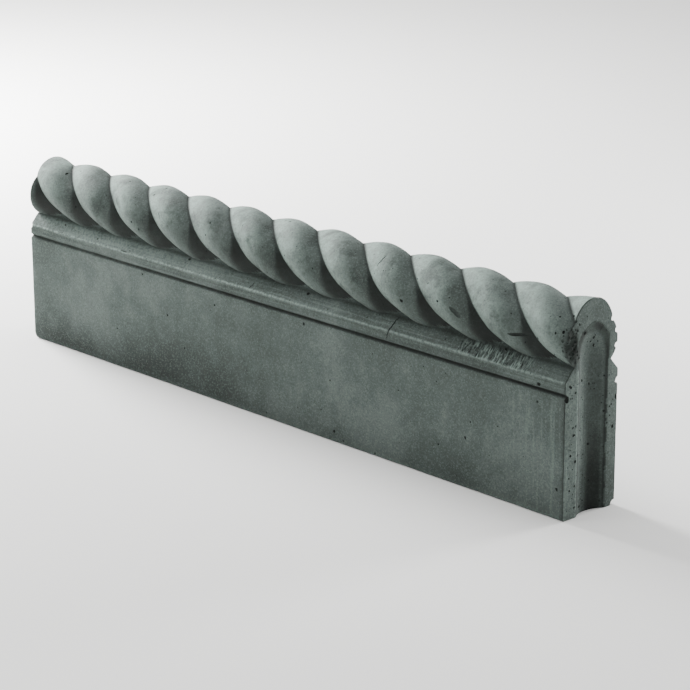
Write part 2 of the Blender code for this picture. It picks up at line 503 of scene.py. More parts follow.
# Bug holes, chips, tears and cracks, taken out of the surface as lumpy balls and thin wedges
scarPlan = dict(
    slabHoles=130, ropeHoles=120, endHoles=110, tearStrokes=260, tornLumps=260, seed=2406,
    holeSeed=91, markSeed=92, strokeSeed=93, lumpSeed=94, apart=1.12,
    # how a ball departs from round: by how much, and over what share of its size
    lumpiness=0.26, lumpScale=1.3, lumpStep=7.7,
    # dirt and painted shade in each kind of scar
    holeDarkening=0.85, tearDarkening=0.25, lumpDarkening=0.60, crackDarkening=0.95, markDarkening=(0.22, 0.95),
    # where holes lie: powers below one crowd them, and pairs are a start and a reach
    slabCrowding=0.62, ropeCrowding=0.75, ledgeShare=0.36, ledgeReach=0.0085,
    ropeArc=(-38.0, 256.0), endHalf=0.0225, endLean=1.35, endRise=(0.004, 0.140), endClear=0.019,
    endTop=0.096, holeSize=(0.38, 0.80, 3.2), holeLength=(1.0, 1.5), holeDepth=0.9,
    # tear strokes on the ledge, their half sizes in millimetres
    tearRun=(0.203, 0.068), tearRise=(0.0008, 0.0066),
    strokeSizes=((1.3, 2.6), (0.34, 0.62), (0.4, 0.7)), strokeStray=0.12,
    strokeSqueeze=(1.0, 0.30, 0.30),
    # torn skin by the rope's cut end
    tornFaceShare=0.62, tornRun=(0.0045, 1.6), tornAngle=(184.0, 20.0), tornRing=(0.66, 0.32),
    lumpSize=(0.45, 1.25), lumpShape=(1.3, 1.0, 0.8),
)

# Marks that this block carries, in millimetres: place, half sizes along, across and deep, direction
markPlan = [
    ((200, -26, 127), (7.0, 2.0, 1.3), (11, 0, -6)),
    ((260, -25, 123), (11.0, 1.3, 1.1), (20, 3, 3)),
    ((-164, -26, 126), (1.0, 0.9, 0.9), (1, 0, 0)),
    ((183, -26, 131), (1.1, 1.0, 1.0), (1, 0, 0)),
    ((302, -25, 134), (1.3, 1.1, 1.0), (0, 0, 1)),
    ((296, -26, 132), (1.0, 0.8, 0.8), (0, 0, 1)),
    ((302, -15, 143), (1.0, 1.0, 0.8), (1, 0, 0)),
    ((253, -26, 127), (0.9, 0.8, 0.8), (1, 0, 0)),
    ((282, -26, 93), (1.7, 1.2, 1.1), (1, 0, 0)),
    ((-261, -21, 105), (0.9, 0.8, 0.8), (1, 0, 0)),
    ((-214, -23, 102), (0.8, 0.8, 0.7), (1, 0, 0)),
    ((-152, -26, 85), (0.9, 0.7, 0.7), (1, 0, 0)),
    ((40, -19, 106), (1.4, 1.1, 1.1), (1, 0, 0)),
    ((98, -24, 133), (12.5, 5.2, 0.75), (10, -3, -10)),
    ((-186, -22, 137), (9.0, 3.6, 0.6), (10, -3, -10)),
    ((256, -23, 133), (8.0, 3.4, 0.5), (10, -1, -10)),
    ((-20, -24, 134), (7.0, 3.0, 0.5), (10, -2, -10)),
    ((-303, -26, 98), (2.6, 2.0, 1.6), (0, 0, 1)),
    ((307, -25, 87), (2.6, 1.7, 1.7), (0, 0, 1)),
    ((307, -21, 95), (1.0, 1.0, 0.9), (0, 0, 1)),
    ((307, -20, 46), (1.0, 0.9, 0.9), (0, 0, 1)),
    ((307, -15, 41), (1.2, 1.0, 0.9), (0, 0, 1)),
    ((307, 26, 1), (3.6, 3.4, 3.4), (0, 0, 1)),
    ((307, 26, 91), (4.0, 1.5, 1.4), (0, 0, 1)),
    ((307, 25, 79), (2.2, 1.3, 1.3), (0, 0, 1)),
    ((307, 25, 127), (2.8, 2.3, 2.0), (0, 0, 1)),
    ((307, 21, 136), (2.4, 2.0, 1.8), (0, 0, 1)),
    ((307, 24, 116), (2.6, 1.8, 1.6), (0, 0, 1)),
    ((307, 22, 58), (1.4, 1.2, 1.0), (0, 0, 1)),
]

# Shrinkage cracks: a path over the surface and the width of the opening, in millimetres
crackPlan = [
    dict(
        path=((137, -17, 109), (135, -20, 105), (134, -24, 101), (133.5, -26, 98), (132, -26, 92)),
        width=1.1,
    ),
    dict(path=((118.5, -12, 149), (117, -16, 146), (115, -20, 142)), width=0.8),
    dict(path=((-134.5, -22, 138.5), (-132.5, -23, 136), (-131, -24, 133.5)), width=0.7),
    dict(path=((-20.8, -25.5, 99.2), (-20, -24, 101), (-18.6, -21.5, 104)), width=0.9),
]
crackShape = dict(points=14, stray=0.28, tip=0.08, taper=0.7, depth=4.0)


def ledgeHeight(y):
    # height of the slab's top surface over a place across the block
    rise = (blockPlan["half"] - np.abs(y)) * blockPlan["slope"]
    return blockPlan["arrisHeight"] + np.minimum(rise, blockPlan["ledgeRun"] * blockPlan["slope"])


def alongBlock(random, count, crowding):
    # random places along X, crowded towards the groove end where the power is below one
    length = blockPlan["end"] - blockPlan["start"]
    return blockPlan["start"] + length * random.random(count) ** crowding


def slabHolePlaces(random, count):
    # random places up the front and back of the slab and over the ledge
    x = alongBlock(random, count, scarPlan["slabCrowding"])
    side = random.choice([-1.0, 1.0], count)
    onLedge = random.random(count) < scarPlan["ledgeShare"]
    z = blockPlan["arrisHeight"] * random.random(count)
    reach = np.where(onLedge, scarPlan["ledgeReach"], 0.0)
    y = blockPlan["half"] - reach * random.random(count)
    return np.stack([x, y * side, np.where(onLedge, ledgeHeight(y), z)], axis=1)


def ropeHolePlaces(random, count):
    # random places round the rope where it stands clear of the ledge
    x = alongBlock(random, count, scarPlan["ropeCrowding"])
    first, reach = (math.radians(degrees) for degrees in scarPlan["ropeArc"])
    angle = first + reach * random.random(count)
    z = ropePlan["centre"] + ropePlan["radius"] * np.sin(angle)
    return np.stack([x, ropePlan["radius"] * np.cos(angle), z], axis=1)


def endHolePlaces(random, count):
    # random places over the groove end
    plan = scarPlan
    y = plan["endHalf"] * (2.0 * random.random(count) ** plan["endLean"] - 1.0)
    foot, reach = plan["endRise"]
    z = foot + reach * random.random(count)
    inRope = np.hypot(y, z - ropePlan["centre"]) < plan["endClear"]
    z = np.where(inRope, z, np.minimum(z, plan["endTop"]))
    return np.stack([blockPlan["end"] - jointRelief(y, z, 0.0), y, z], axis=1)


def tearPlaces(random, count):
    # under the last lobes but one, where the ledge was drawn off before it had set
    start, run = scarPlan["tearRun"]
    x = start + run * random.random(count)
    foot, rise = scarPlan["tearRise"]
    y = -blockPlan["half"] + foot + rise * random.random(count)
    return np.stack([x, y, ledgeHeight(y)], axis=1)


def tornPlaces(random, count):
    # the front of the rope's cut end, where the mix tore away from the end board: side and face
    onFace = random.random(count) < scarPlan["tornFaceShare"]
    run, power = scarPlan["tornRun"]
    x = blockPlan["end"] - np.where(onFace, 0.0, run * random.random(count) ** power)
    middle, spread = (math.radians(degrees) for degrees in scarPlan["tornAngle"])
    angle = middle + spread * random.normal(size=count)
    inner, reach = scarPlan["tornRing"]
    radius = ropePlan["radius"] * np.where(onFace, inner + reach * random.random(count), 1.0)
    z = ropePlan["centre"] + radius * np.sin(angle)
    return np.stack([x, radius * np.cos(angle), z], axis=1)


def keepApart(place, reach, squeeze):
    # drops every ball that would touch one already kept; the squeeze is for balls drawn out one way
    place = place * np.array(squeeze)
    kept = []
    for index in range(len(place)):
        gap = np.linalg.norm(place[kept] - place[index], axis=1)
        if (gap > scarPlan["apart"] * (reach[kept] + reach[index])).all():
            kept.append(index)
    return np.array(kept)


def markSunk(made, values):
    # a value for every face of a cutter, which the surface it leaves behind keeps
    attribute = made.data.attributes.new("sunk", "FLOAT", "FACE")
    attribute.data.foreach_set("value", np.asarray(values, np.float32))
    return made


def buildBalls(name, skin, place, size, along, seed, sunk, squeeze=(1.0, 1.0, 1.0)):
    # lumpy balls set on the skin: a unit ball times three half sizes (along, across, outward)
    hits = [skin.find_nearest(Vector(p)) for p in place]
    place = np.array([hit[0] for hit in hits])
    outward = np.array([hit[1] for hit in hits])
    kept = keepApart(place, size.max(axis=1) * min(squeeze), squeeze)
    place, outward, size, along = place[kept], outward[kept], size[kept], along[kept]
    sunk = np.broadcast_to(sunk, len(hits))[kept]
    bm = bmesh.new()
    bmesh.ops.create_icosphere(bm, subdivisions=2, radius=1.0)
    ball = np.array([v.co[:] for v in bm.verts])
    faces = np.array([[v.index for v in f.verts] for f in bm.faces])
    bm.free()
    across = np.cross(outward, along)
    across /= np.linalg.norm(across, axis=1, keepdims=True)
    turned = np.stack([np.cross(across, outward), across, outward], axis=1)
    number = np.arange(len(place))[:, None, None]
    lumps = ball[None, :, :] * scarPlan["lumpScale"] + number * scarPlan["lumpStep"]
    noise = latticeNoise(lumps.reshape(-1, 3), 1.0, seed).reshape(lumps.shape[:2])
    swell = 1.0 + scarPlan["lumpiness"] * noise
    local = ball[None, :, :] * swell[:, :, None] * size[:, None, :]
    points = np.einsum("nvi,nij->nvj", local, turned) + place[:, None, :]
    allFaces = (faces[None, :, :] + number * len(ball)).reshape(-1, 3)
    balls = turnOutwards(meshFrom(name, points, allFaces))
    return markSunk(balls, np.repeat(sunk, len(faces)))


def buildCrack(name, skin, path, width):
    # a thin wedge that follows its path over the skin, closed to a point at both ends
    random = np.random.default_rng(len(name) + int(abs(path[0][0])))
    count, tip = crackShape["points"], crackShape["tip"]
    steps = np.linspace(0.0, len(path) - 1.0, count)
    corners = np.array(path, float) * millimetre
    numbers = np.arange(len(path))
    line = np.stack([np.interp(steps, numbers, corners[:, i]) for i in range(3)], axis=1)
    line[1:-1] += random.normal(size=(count - 2, 3)) * crackShape["stray"] * millimetre
    hits = [skin.find_nearest(Vector(p)) for p in line]
    line = np.array([hit[0] for hit in hits])
    outward = np.array([hit[1] for hit in hits])
    outward /= np.linalg.norm(outward, axis=1, keepdims=True)
    across = np.cross(outward, np.gradient(line, axis=0))
    across /= np.linalg.norm(across, axis=1, keepdims=True)
    arch = np.sin(np.linspace(0.0, math.pi, count)) ** crackShape["taper"]
    half = width / 2 * millimetre * (tip + (1.0 - tip) * arch)[:, None]
    bottom = line - outward * half * crackShape["depth"]
    ring = [line + across * half, line + outward * half, line - across * half, bottom]
    wedge = tubeFrom(name, np.stack(ring, axis=1))
    return markSunk(wedge, np.full(len(wedge.data.polygons), scarPlan["crackDarkening"]))


def cutScars(casting):
    # each group is cut on its own, so that balls of one group never touch each other
    plan = scarPlan
    random = np.random.default_rng(plan["seed"])
    mesh = casting.data
    corners = np.empty(len(mesh.vertices) * 3)
    mesh.vertices.foreach_get("co", corners)
    polygons = [tuple(p.vertices) for p in mesh.polygons]
    skin = BVHTree.FromPolygons(corners.reshape(-1, 3).tolist(), polygons)
    place = np.concatenate([
        slabHolePlaces(random, plan["slabHoles"]),
        ropeHolePlaces(random, plan["ropeHoles"]),
        endHolePlaces(random, plan["endHoles"]),
    ])
    count = len(place)
    # most holes are under a millimetre across, a few reach two and a half
    least, most, power = plan["holeSize"]
    across = (least + most * random.random(count) ** power) * millimetre
    length = across * random.uniform(*plan["holeLength"], count)
    size = np.stack([length, across, across * plan["holeDepth"]], axis=1)
    along = random.normal(size=(count, 3))
    holes = buildBalls("holes", skin, place, size, along, plan["holeSeed"], plan["holeDarkening"])

    place, size, along = (np.array([mark[i] for mark in markPlan], float) for i in range(3))
    # narrow marks get more dirt and painted shade than broad shallow ones
    sunk = np.clip(size[:, 2] / size[:, 1], *plan["markDarkening"])
    place, size = place * millimetre, size * millimetre
    marks = buildBalls("marks", skin, place, size, along, plan["markSeed"], sunk)

    count = plan["tearStrokes"]
    size = [random.uniform(low, high, count) for low, high in plan["strokeSizes"]]
    size = np.stack(size, axis=1) * millimetre
    stray = random.normal(size=(count, 3)) * plan["strokeStray"]
    along = np.array([0.0, 1.0, blockPlan["slope"]]) + stray
    place = tearPlaces(random, count)
    seed, dirt, near = plan["strokeSeed"], plan["tearDarkening"], plan["strokeSqueeze"]
    strokes = buildBalls("strokes", skin, place, size, along, seed, dirt, near)

    count = plan["tornLumps"]
    across = random.uniform(*plan["lumpSize"], count)
    size = across[:, None] * np.array(plan["lumpShape"]) * millimetre
    place = tornPlaces(random, count)
    along = random.normal(size=(count, 3))
    lumps = buildBalls("lumps", skin, place, size, along, plan["lumpSeed"], plan["lumpDarkening"])

    cracks = [buildCrack(f"crack_{i}", skin, **crack) for i, crack in enumerate(crackPlan)]
    for cutter in (holes, marks, strokes, lumps, *cracks):
        combine(casting, cutter, "DIFFERENCE")


print("casting")
casting = buildSlab()
combine(casting, buildRope(), "UNION")
for name, side in (("groove", 1), ("tongue", -1)):
    cutter = buildEndCutter(name + " end", side, endPlan[name + "Spacing"])
    combine(casting, cutter, "DIFFERENCE")
wireNodes = ["line_wire_lower", "line_wire_upper"] + [f"cross_wire_{i}" for i in (1, 2, 3, 4)]
for node in wireNodes:
    combine(casting, buildWireRoom(node), "DIFFERENCE")
cutScars(casting)
casting.name = "edging_casting"
casting.data.name = "edging_casting"
casting.data.calc_loop_triangles()
print(f"  {len(casting.data.loop_triangles)} triangles")
casting.data.shade_smooth()
casting.data.set_sharp_from_angle(angle=math.radians(blockPlan["sharpAngle"]))
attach(casting, "root")
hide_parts("concrete_casting")


def linear(hexColour):
    # sRGB hex to the linear values that the shader takes
    parts = [int(hexColour[i:i + 2], 16) / 255.0 for i in (1, 3, 5)]
    parts = [p / 12.92 if p <= 0.04045 else ((p + 0.055) / 1.055) ** 2.4 for p in parts]
    return (*parts, 1.0)


# Settings that several nodes share; a Mix node takes its share at 0 and its colours at 6 and 7
smooth = dict(interpolation_type="SMOOTHSTEP")
product = dict(operation="MULTIPLY")
blend = dict(output=2, data_type="RGBA")


def addNode(tree, kind, inputs=(), output=0, **settings):
    # adds a node with its settings, fills its inputs with values or links, and returns one output
    node = tree.nodes.new("ShaderNode" + kind)
    for key, value in settings.items():
        setattr(node, key, value)
    for key, value in inputs.items() if isinstance(inputs, dict) else enumerate(inputs):
        if isinstance(value, bpy.types.NodeSocket):
            tree.links.new(value, node.inputs[key])
        else:
            node.inputs[key].default_value = value
    return node.outputs[output]


def newMaterial(name):
    # an empty material with its node tree and its shader
    material = bpy.data.materials.new(name)
    material.use_nodes = True
    tree = material.node_tree
    return material, tree, tree.nodes["Principled BSDF"]


# Precast charcoal concrete, struck from a mould: to the eye it has soft pigment clouds, grains of
# sand, pinholes, pale worn arrises, dirt and painted shade in its hollows, and painted highlights
# on its lobes
concretePlan = dict(
    pigment="#505a56",
    pigmentDark="#47504c",
    pigmentLight="#5e6864",
    bloomAndHighlight="#899b93",
    grimeAndShade="#161a17",
    # each noise: size in millimetres, detail and roughness, then any tilt and stretch of its own
    noises=dict(
        clouds=(85.0, 3.0, 0.55),
        mottle=(14.0, 6.0, 0.62),
        smear=(22.0, 4.0, 0.60),
        fleck=(2.2, 4.0, 0.50),
        bands=(1.8, 2.0, 0.50, 0.0, (0.03, 1.0, 1.0)),
        tears=(1.7, 2.0, 0.50, 0.25, (1.0, 0.16, 0.16)),
        runs=(3.0, 2.0, 0.50, 0.0, (1.0, 1.0, 0.06)),
    ),
    sandSize=0.9 * millimetre,  # a little coarser than the real sand, so that it shows
    sandHeight=0.09 * millimetre,
    sandStrength=0.7,
    pinholeSize=3.6 * millimetre,
    pinholeHeight=0.30 * millimetre,
    pinholeStrength=0.8,
    pinholeDarkening=0.8,
    mottleShare=0.55,
    footUneven=0.05,
    bumpMottle=1.5,
    specular=0.3,
    # each mask: what it reads, the values there that it starts and ends at, and what it gives
    masks=dict(
        middling=("tone", 0.62, 0.80, 0.0, 1.0),
        light=("tone", 0.76, 0.94, 0.0, 1.0),
        highlightPatches=("mottle", 0.34, 0.60, 0.50, 1.0),
        flecked=("fleck", 0.36, 0.62, 0.74, 1.0),
        smudge=("smear", 0.50, 0.66, 0.0, 0.45),
        smudgeRise=("height", 0.090, 0.120, 0.0, 1.0),
        smudgeStop=("east", 0.285, 0.245, 0.0, 1.0),
        bandPale=("bands", 0.50, 0.72, 0.0, 0.20),
        bandDull=("bands", 0.50, 0.30, 0.0, 0.20),
        bandFoot=("height", 0.0895, 0.0925, 0.0, 1.0),
        bandTop=("height", 0.108, 0.103, 0.0, 1.0),
        tearPale=("tears", 0.50, 0.62, 0.0, 0.58),
        tearDull=("tears", 0.46, 0.36, 0.0, 0.55),
        runPale=("runs", 0.50, 0.70, 0.0, 0.20),
        runStart=("east", 0.22, 0.30, 0.0, 1.0),
        runTop=("height", 0.089, 0.080, 0.0, 1.0),
        darkFoot=("foot", 0.078, 0.022, 0.0, 1.0),
        darkFootShare=("east", 0.15, -0.25, 0.36, 0.74),
        sandPale=("grain", 0.62, 1.0, 0.0, 0.18),
        sandDull=("grain", 0.38, 0.0, 0.0, 0.22),
        pinholeEdge=("cell", 0.15, 0.07, 0.0, 1.0),
        pinholePick=("pick", 0.86, 0.90, 0.0, 1.0),
        wornPatch=("fleck", 0.40, 0.58, 0.28, 0.90),
        darkeningPatch=("mottle", 0.30, 0.60, 1.0, 0.88),
        dull=("mottle", 0.3, 0.7, 0.80, 0.95),
    ),
    # coats of colour from the first to the last, each with the masks that share it out
    coats=(
        # pigment clouds: broad ones as the mix was poured, smaller ones as it dried
        ("pigment", "middling"),
        ("pigmentLight", "light"),
        # a painted highlight on the lobes' lit upper sides, broken into pale patches and specks
        ("bloomAndHighlight", "highlightPatches", "flecked", "lobeHighlight"),
        # darker smudges over the rope, where hands and straps have been
        ("grimeAndShade", "smudgeRise", "smudgeStop", "smudge"),
        # bands along the ledge and fascia from the screed
        ("bloomAndHighlight", "bandFoot", "bandTop", "bandPale"),
        ("grimeAndShade", "bandFoot", "bandTop", "bandDull"),
        # strokes up the torn part of the ledge, pale where the paste was dragged, dull between
        ("bloomAndHighlight", "tearPale", "brushed"),
        ("grimeAndShade", "tearDull", "brushed"),
        # faint runs down the panel by the groove end
        ("bloomAndHighlight", "runStart", "runTop", "runPale"),
        # the foot of the panel is darker, more so towards the tongue end
        ("grimeAndShade", "darkFoot", "darkFootShare"),
        # sand, one shade a grain
        ("bloomAndHighlight", "sandPale"),
        ("grimeAndShade", "sandDull"),
        # lime bloom wears through on the arrises
        ("bloomAndHighlight", "wear", "wornPatch"),
        # dirt and painted shade in the hollows, the pinholes and the scars
        ("grimeAndShade", "hollowsAndShade"),
    ),
)


# Where wear, dirt, painted shade and painted highlights lie. A pair is a ramp between two
# places, or a bell's centre and width, in metres; along the strands it is in shares of a strand's
# pitch, or of the rope's radius for height
wearAndShadePlan = dict(
    nearSide=(-0.0022, -0.0004), ledgeFoot=(-0.0010, 0.0004), ledgeTop=(0.1095, 0.1060),
    endSkin=0.0004, startSkin=0.0006, grooveDepth=0.0062, grooveHalf=0.0152, ropeClear=0.0008,
    farther=(0.12, -0.12), valleyAfter=(0.0, 0.05), valleyBefore=(1.0, 0.030), valleyShade=0.70,
    wedgeSize=(0.05, 0.40, 0.13), wedgeRise=(0.50, -0.70), overhung=(1.25, 0.55),
    overhungRise=(0.75, 0.15), duskShade=(0.38, 0.22), dusk=(0.90, 0.32), duskRise=(0.60, -0.08),
    junction=(0.0256, 0.0022), junctionTop=(0.116, 0.108), junctionShade=0.66,
    lineShade=(0.34, 0.66, 0.24), lineFade=(0.02, -0.22), lineWidth=0.0022,
    lineSide=(0.0001, 0.0012), lineReach=(-0.0032, -0.0026), fasciaDarkening=0.20,
    fasciaFoot=(0.0905, 0.0918), fasciaTop=(0.0988, 0.0968), tornRun=(0.0, 0.0045),
    tornSide=(-0.0140, -0.0170), tornHeight=(0.120, 0.0135), scoreWidth=0.0010, scoreClear=0.0003,
    scoreDirt=0.9, inGroove=0.0060, grooveAcross=(0.0138, 0.0100), grooveShade=(-0.0060, 0.0050),
    grooveShadeAmount=(0.50, 0.42), grooveTop=(0.126, 0.104), grooveFoot=(0.080, 0.020),
    arris=(0.0002, 0.0008), arrisWear=(0.60, 0.40), arrisFade=(0.12, -0.05), corner=(0.0, 0.0012),
    cornerWear=0.7, bottom=(0.0, 0.0014), bottomWear=0.4, rim=(0.0002, 0.0007), rimDepth=0.0016,
    rimTop=(0.122, 0.104), rimWear=0.8, faceWear=0.22, faceDepth=0.0010,
    faceSide=(-0.0125, -0.0140), faceTop=(0.112, 0.100), sillWear=0.34, sillFade=(0.06, -0.20),
    sillFoot=(-0.0004, 0.0008), sillTop=(0.1095, 0.1050), shine=(0.12, 0.74),
    shineStop=(1.0, 0.95), firstShine=0.85, firstLobe=(-0.262, -0.286), firstRise=(0.20, 0.80),
    highlightLow=(0.44, 0.16), highlightRise=(-0.35, 0.62), highlightFoot=(-0.95, -0.70),
    brushedStart=(0.197, 0.212), brushedEnd=(0.278, 0.262),
)


def ramp(name, value, origin=0.0):
    # a smooth step between the two places of this name in the plan, counted from the origin
    low, high = wearAndShadePlan[name]
    return smoothStep(origin + low, origin + high, value)


def bell(name, value):
    # a bump with the centre and width of this name in the plan
    return bump(value, *wearAndShadePlan[name])


def markSurface(made):
    # four values a vertex, made of products of ramps and bells, the greatest of which counts: wear
    # on arrises and edges, dirt and painted shade in grooves and valleys, a painted highlight on
    # the lobes, and brushed on the torn part of the ledge
    plan = wearAndShadePlan
    mesh = made.data
    flat = np.empty(len(mesh.vertices) * 3)
    mesh.vertices.foreach_get("co", flat)
    x, y, z = flat.reshape(-1, 3).T
    half, arris, side = blockPlan["half"], blockPlan["arrisHeight"], np.abs(y)
    nearSide = ramp("nearSide", side, half)
    nearLedge = ramp("ledgeFoot", z, arris) * ramp("ledgeTop", z)
    fromAxis = np.hypot(y, z - ropePlan["centre"])
    fromEnd, fromStart = blockPlan["end"] - x, x - blockPlan["start"]
    acrossEnd = fromBar(y, z)
    between = (fromEnd > plan["endSkin"]) & (fromStart > plan["startSkin"])
    between &= (fromEnd > plan["grooveDepth"]) | (acrossEnd > plan["grooveHalf"])
    onRope = (z > ledgeHeight(y) + plan["ropeClear"]) & between
    pitch = 2 * math.pi / ropePlan["strands"]
    local = np.arctan2(z - ropePlan["centre"], y) - layAngle(x)
    local = (local - math.radians(ropePlan["firstValley"])) / pitch
    local = local - np.floor(local)
    height = (z - ropePlan["centre"]) / ropePlan["radius"]

    # painted shade on a strand: in its valleys, in a wedge that widens downwards on the side that
    # faces the groove end, and over the lower part of that side, more of it away from the groove
    # end
    farther = ramp("farther", x)
    valley = plan["valleyShade"] * (bell("valleyAfter", local) + bell("valleyBefore", local))
    least, most, more = plan["wedgeSize"]
    wedge = least + (most + more * farther) * ramp("wedgeRise", height)
    overhung = ramp("overhung", local / wedge) * ramp("overhungRise", height)
    most, more = plan["duskShade"]
    dusk = (most + more * farther) * ramp("dusk", local) * ramp("duskRise", height)
    strand = onRope * np.maximum.reduce([valley, overhung, dusk])
    # painted shade where the rope meets the ledge, in the line groove and down the shaded side of
    # the joint groove; darker on the fascia, in the torn skin and in the score
    junction = bell("junction", fromAxis) * ramp("junctionTop", z) * between * plan["junctionShade"]
    least, more, faded = plan["lineShade"]
    line = least + (more - faded * ramp("lineFade", x)) * ramp("lineSide", half - side)
    line = line * bump(z, slabPlan["lineHeight"], plan["lineWidth"]) * between
    line = line * ramp("lineReach", side, half)
    fascia = plan["fasciaDarkening"] * ramp("fasciaFoot", z) * ramp("fasciaTop", z) * nearSide * between
    torn = bell("tornRun", fromEnd) * ramp("tornSide", y) * bell("tornHeight", z)
    score = bump(fromEnd, scorePlan["inset"], plan["scoreWidth"]) * plan["scoreDirt"]
    score = score * (fromEnd > plan["scoreClear"])
    most, more = plan["grooveShadeAmount"]
    groove = most * ramp("grooveTop", z) + more * ramp("grooveFoot", z)
    groove = groove * ramp("grooveAcross", acrossEnd) * ramp("grooveShade", y)
    groove = groove * (fromEnd < plan["inGroove"])
    dirtAndShade = np.maximum.reduce([strand, junction, line, fascia, torn, score, groove])

    # the block is worn at its arris, its corner, its foot, the groove's rim, the end's front strip
    # and, away from the groove end, along the ledge
    least, more = plan["arrisWear"]
    atArris = bell("arris", z - arris) * nearSide * (least + more * ramp("arrisFade", x))
    corner = plan["cornerWear"] * bell("corner", fromStart) * nearSide * (z < arris)
    bottom = plan["bottomWear"] * bell("bottom", z) * nearSide
    edge = np.abs(y - endPlan["centre"] + endPlan["width"] / 2)
    rim = plan["rimWear"] * bell("rim", edge) * (fromEnd < plan["rimDepth"]) * ramp("rimTop", z)
    face = plan["faceWear"] * ramp("faceSide", y) * ramp("faceTop", z)
    face = face * (fromEnd < plan["faceDepth"])
    sill = plan["sillWear"] * ramp("sillFade", x) * ramp("sillFoot", z, arris) * ramp("sillTop", z)
    wear = np.maximum.reduce([atArris, sill * between, corner, bottom, rim, face])

    # a painted highlight on the lit side of each strand, away from its painted shade and brightest
    # near its crest, and over all the top of the first lobe
    first = plan["firstShine"] * ramp("firstLobe", x) * ramp("firstRise", height)
    shine = np.maximum(ramp("shine", local) * ramp("shineStop", local), first)
    most, less = plan["highlightLow"]
    low = most - less * farther
    lobeHighlight = onRope * shine * (low + (1.0 - low) * ramp("highlightRise", height))
    lobeHighlight = lobeHighlight * ramp("highlightFoot", height)
    # the ledge by the tears is brushed pale
    brushed = ramp("brushedStart", x) * ramp("brushedEnd", x) * (y < 0) * nearLedge
    for name, values in dict(wear=wear, dirtAndShade=dirtAndShade, lobeHighlight=lobeHighlight, brushed=brushed).items():
        attribute = mesh.attributes.new(name, "FLOAT", "POINT")
        attribute.data.foreach_set("value", np.clip(values, 0.0, 1.0).astype(np.float32))


def castConcrete():
    # coats of colour mixed over each other, each by the product of its masks; a mask is a smooth
    # range of a noise, of a place on the block, or of what markSurface left on the mesh
    material, tree, shader = newMaterial("castConcrete")
    plan = concretePlan
    coords = addNode(tree, "TexCoord", output="Object")
    values = dict(
        east=addNode(tree, "SeparateXYZ", (coords,), "X"),
        height=addNode(tree, "SeparateXYZ", (coords,), "Z"),
    )
    for name in ("wear", "dirtAndShade", "lobeHighlight", "brushed", "sunk"):
        values[name] = addNode(tree, "Attribute", output="Fac", attribute_name=name)
    for name, (size, detail, rough, *drawn) in plan["noises"].items():
        place = coords
        if drawn:
            tilt, stretch = (0.0, drawn[0], 0.0), drawn[1]
            turned = {"Vector": coords, "Rotation": tilt, "Scale": stretch}
            place = addNode(tree, "Mapping", turned)
        scale = 1.0 / (size * millimetre)
        values[name] = addNode(tree, "TexNoise", {
            "Vector": place, "Scale": scale, "Detail": detail, "Roughness": rough})
    mottle = values["mottle"]
    part = addNode(tree, "Math", (mottle, plan["mottleShare"]), **product)
    values["tone"] = addNode(tree, "Math", (values["clouds"], part))
    uneven = addNode(tree, "Math", (values["clouds"], plan["footUneven"]), **product)
    values["foot"] = addNode(tree, "Math", (values["height"], uneven))

    # the sand has one value a grain; pinholes, too small to model, lie in a share of the cells
    grains = {"Vector": coords, "Scale": 1.0 / plan["sandSize"]}
    grain = addNode(tree, "TexVoronoi", grains, "Color")
    grain = values["grain"] = addNode(tree, "SeparateColor", (grain,))
    cells = {"Vector": coords, "Scale": 1.0 / plan["pinholeSize"]}
    values["cell"] = addNode(tree, "TexVoronoi", cells, "Distance")
    pick = addNode(tree, "TexVoronoi", cells, "Color")
    values["pick"] = addNode(tree, "SeparateColor", (pick,), 1)
    for name, (source, *limits) in plan["masks"].items():
        values[name] = addNode(tree, "MapRange", (values[source], *limits), **smooth)
    hole = addNode(tree, "Math", (values["pinholeEdge"], values["pinholePick"]), **product)
    # dirt and painted shade: from the mesh in patches, in the pinholes, and on the scars' faces
    hollowsAndShade = addNode(tree, "Math", (values["dirtAndShade"], values["darkeningPatch"]), **product)
    speck = addNode(tree, "Math", (hole, plan["pinholeDarkening"]), **product)
    for other in (speck, values["sunk"]):
        hollowsAndShade = addNode(tree, "Math", (hollowsAndShade, other), operation="MAXIMUM")
    values["hollowsAndShade"] = hollowsAndShade

    colour = linear(plan["pigmentDark"])
    for tint, first, *others in plan["coats"]:
        share = values[first]
        for name in others:
            share = addNode(tree, "Math", (share, values[name]), **product)
        colour = addNode(tree, "Mix", {0: share, 6: colour, 7: linear(plan[tint])}, **blend)
    tree.links.new(colour, shader.inputs["Base Color"])
    tree.links.new(values["dull"], shader.inputs["Roughness"])
    shader.inputs["Specular IOR Level"].default_value = plan["specular"]

    # the skin feels of sand, with the pinholes sunk into it
    uneven = addNode(tree, "Math", (mottle, plan["bumpMottle"]), **product)
    sand = addNode(tree, "Math", (grain, uneven))
    skin = addNode(tree, "Bump", {
        "Height": sand, "Distance": plan["sandHeight"], "Strength": plan["sandStrength"]})
    depth, strength = plan["pinholeHeight"], plan["pinholeStrength"]
    skin = addNode(tree, "Bump", {
        "Height": hole, "Distance": depth, "Strength": strength, "Normal": skin}, invert=True)
    tree.links.new(skin, shader.inputs["Normal"])
    return material


# Drawn mild steel wire: to the eye a dull grey metal with a brown bloom of rust in patches
wireFinish = dict(
    steel="#8b8884",
    rust="#6a3f26",
    patchSize=5.0 * millimetre,
    patchDetail=(6.0, 0.65),
    pitSize=0.6 * millimetre,
    pitDetail=4.0,
    pitHeight=0.08 * millimetre,
    pitStrength=0.6,
    patch=(0.42, 0.62, 0.0, 1.0),
    metallic=(0.0, 1.0, 1.0, 0.15),
    roughness=(0.0, 1.0, 0.38, 0.85),
)


